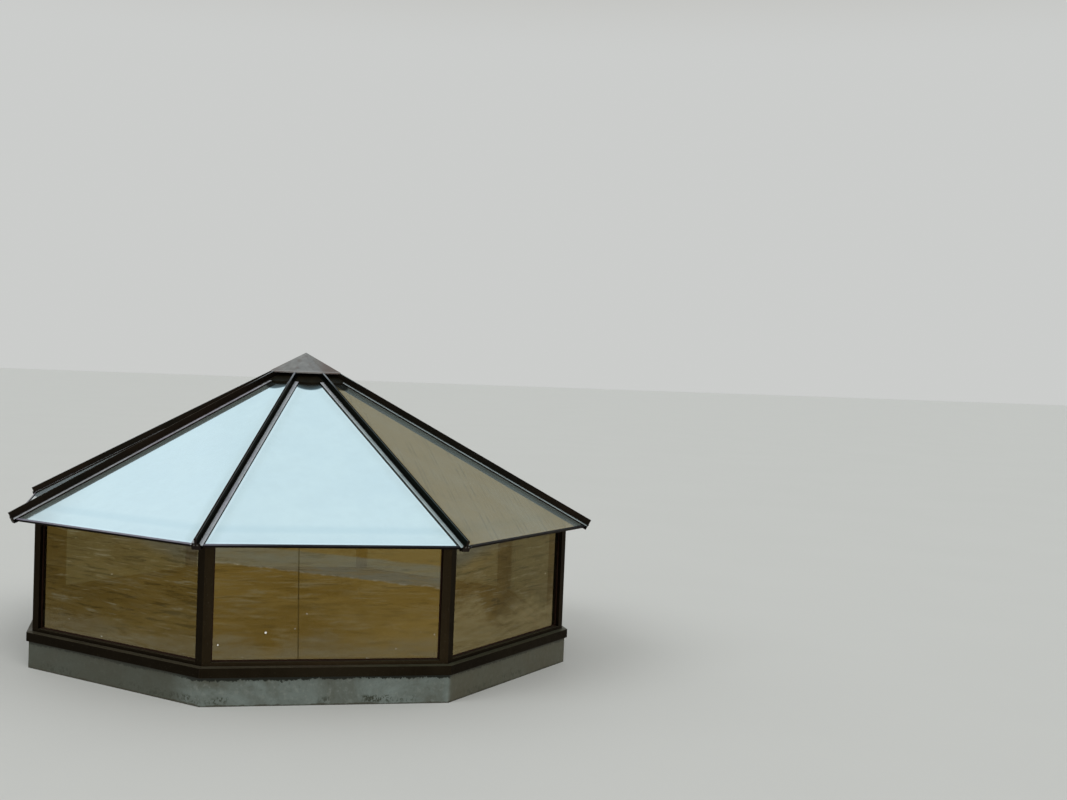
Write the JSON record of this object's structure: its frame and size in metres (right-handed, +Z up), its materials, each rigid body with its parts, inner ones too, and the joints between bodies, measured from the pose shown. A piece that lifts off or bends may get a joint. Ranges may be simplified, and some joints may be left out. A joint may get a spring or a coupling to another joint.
{
  "type": "roof skylight",
  "caption": "Octagonal lantern skylight on a low curb, with upright tinted panes between corner posts and a pyramid of sloped panes under a small cap, for daylight through a flat roof.",
  "frame": {"origin": "on the ground at the centre of the curb's foot", "axes": "+Z up through the tip of the cap, one side of the octagon facing -Y, +X to the right of that side"},
  "size_m": [3.077, 3.077, 1.6615],
  "materials": {
    "bronze_frame": "dark bronze anodised, dull",
    "hip_metal": "dark bronze anodised, weathered",
    "eave_metal": "dark bronze anodised, weathered",
    "end_metal": "dark bronze anodised, dull",
    "flashing_metal": "dark bronze anodised, stained",
    "inner_metal": "dark bronze anodised",
    "cap_metal": "weathered grey-brown",
    "collar_sheet": "dull black",
    "roof_glass": "bronze tint, reflective",
    "wall_glass": "bronze tint, reflective",
    "glazing_rubber": "dull black",
    "curb_coating": "grey coating with damp stains",
    "plate_timber": "treated softwood",
    "screw_steel": "plain"
  },
  "bodies": {
    "root": {"corner_post_1": "bronze_frame", "corner_post_2": "bronze_frame", "corner_post_3": "bronze_frame", "corner_post_4": "bronze_frame", "corner_post_5": "bronze_frame", "corner_post_6": "bronze_frame", "corner_post_7": "bronze_frame", "corner_post_8": "bronze_frame", "sill_rail_1": "bronze_frame", "sill_rail_2": "bronze_frame", "sill_rail_3": "bronze_frame", "sill_rail_4": "bronze_frame", "sill_rail_5": "bronze_frame", "sill_rail_6": "bronze_frame", "sill_rail_7": "bronze_frame", "sill_rail_8": "bronze_frame", "head_rails": "bronze_frame", "hip_cap_1": "hip_metal", "hip_cap_2": "hip_metal", "hip_cap_3": "hip_metal", "hip_cap_4": "hip_metal", "hip_cap_5": "hip_metal", "hip_cap_6": "hip_metal", "hip_cap_7": "hip_metal", "hip_cap_8": "hip_metal", "eave_trims": "eave_metal", "hip_end_plates": "end_metal", "sill_flashing": "flashing_metal", "hip_rafter_1": "inner_metal", "hip_rafter_2": "inner_metal", "hip_rafter_3": "inner_metal", "hip_rafter_4": "inner_metal", "hip_rafter_5": "inner_metal", "hip_rafter_6": "inner_metal", "hip_rafter_7": "inner_metal", "hip_rafter_8": "inner_metal", "apex_hub": "inner_metal", "apex_cap": "cap_metal", "apex_collar": "collar_sheet", "roof_pane_1": "roof_glass", "roof_pane_2": "roof_glass", "roof_pane_3": "roof_glass", "roof_pane_4": "roof_glass", "roof_pane_5": "roof_glass", "roof_pane_6": "roof_glass", "roof_pane_7": "roof_glass", "roof_pane_8": "roof_glass", "wall_pane_1": "wall_glass", "wall_pane_2": "wall_glass", "wall_pane_3": "wall_glass", "wall_pane_4": "wall_glass", "wall_pane_5": "wall_glass", "wall_pane_6": "wall_glass", "wall_pane_7": "wall_glass", "wall_pane_8": "wall_glass", "wall_gaskets": "glazing_rubber", "roof_gaskets": "glazing_rubber", "curb": "curb_coating", "curb_plate": "plate_timber", "end_plate_screws": "screw_steel"}
  },
  "joints": []
}
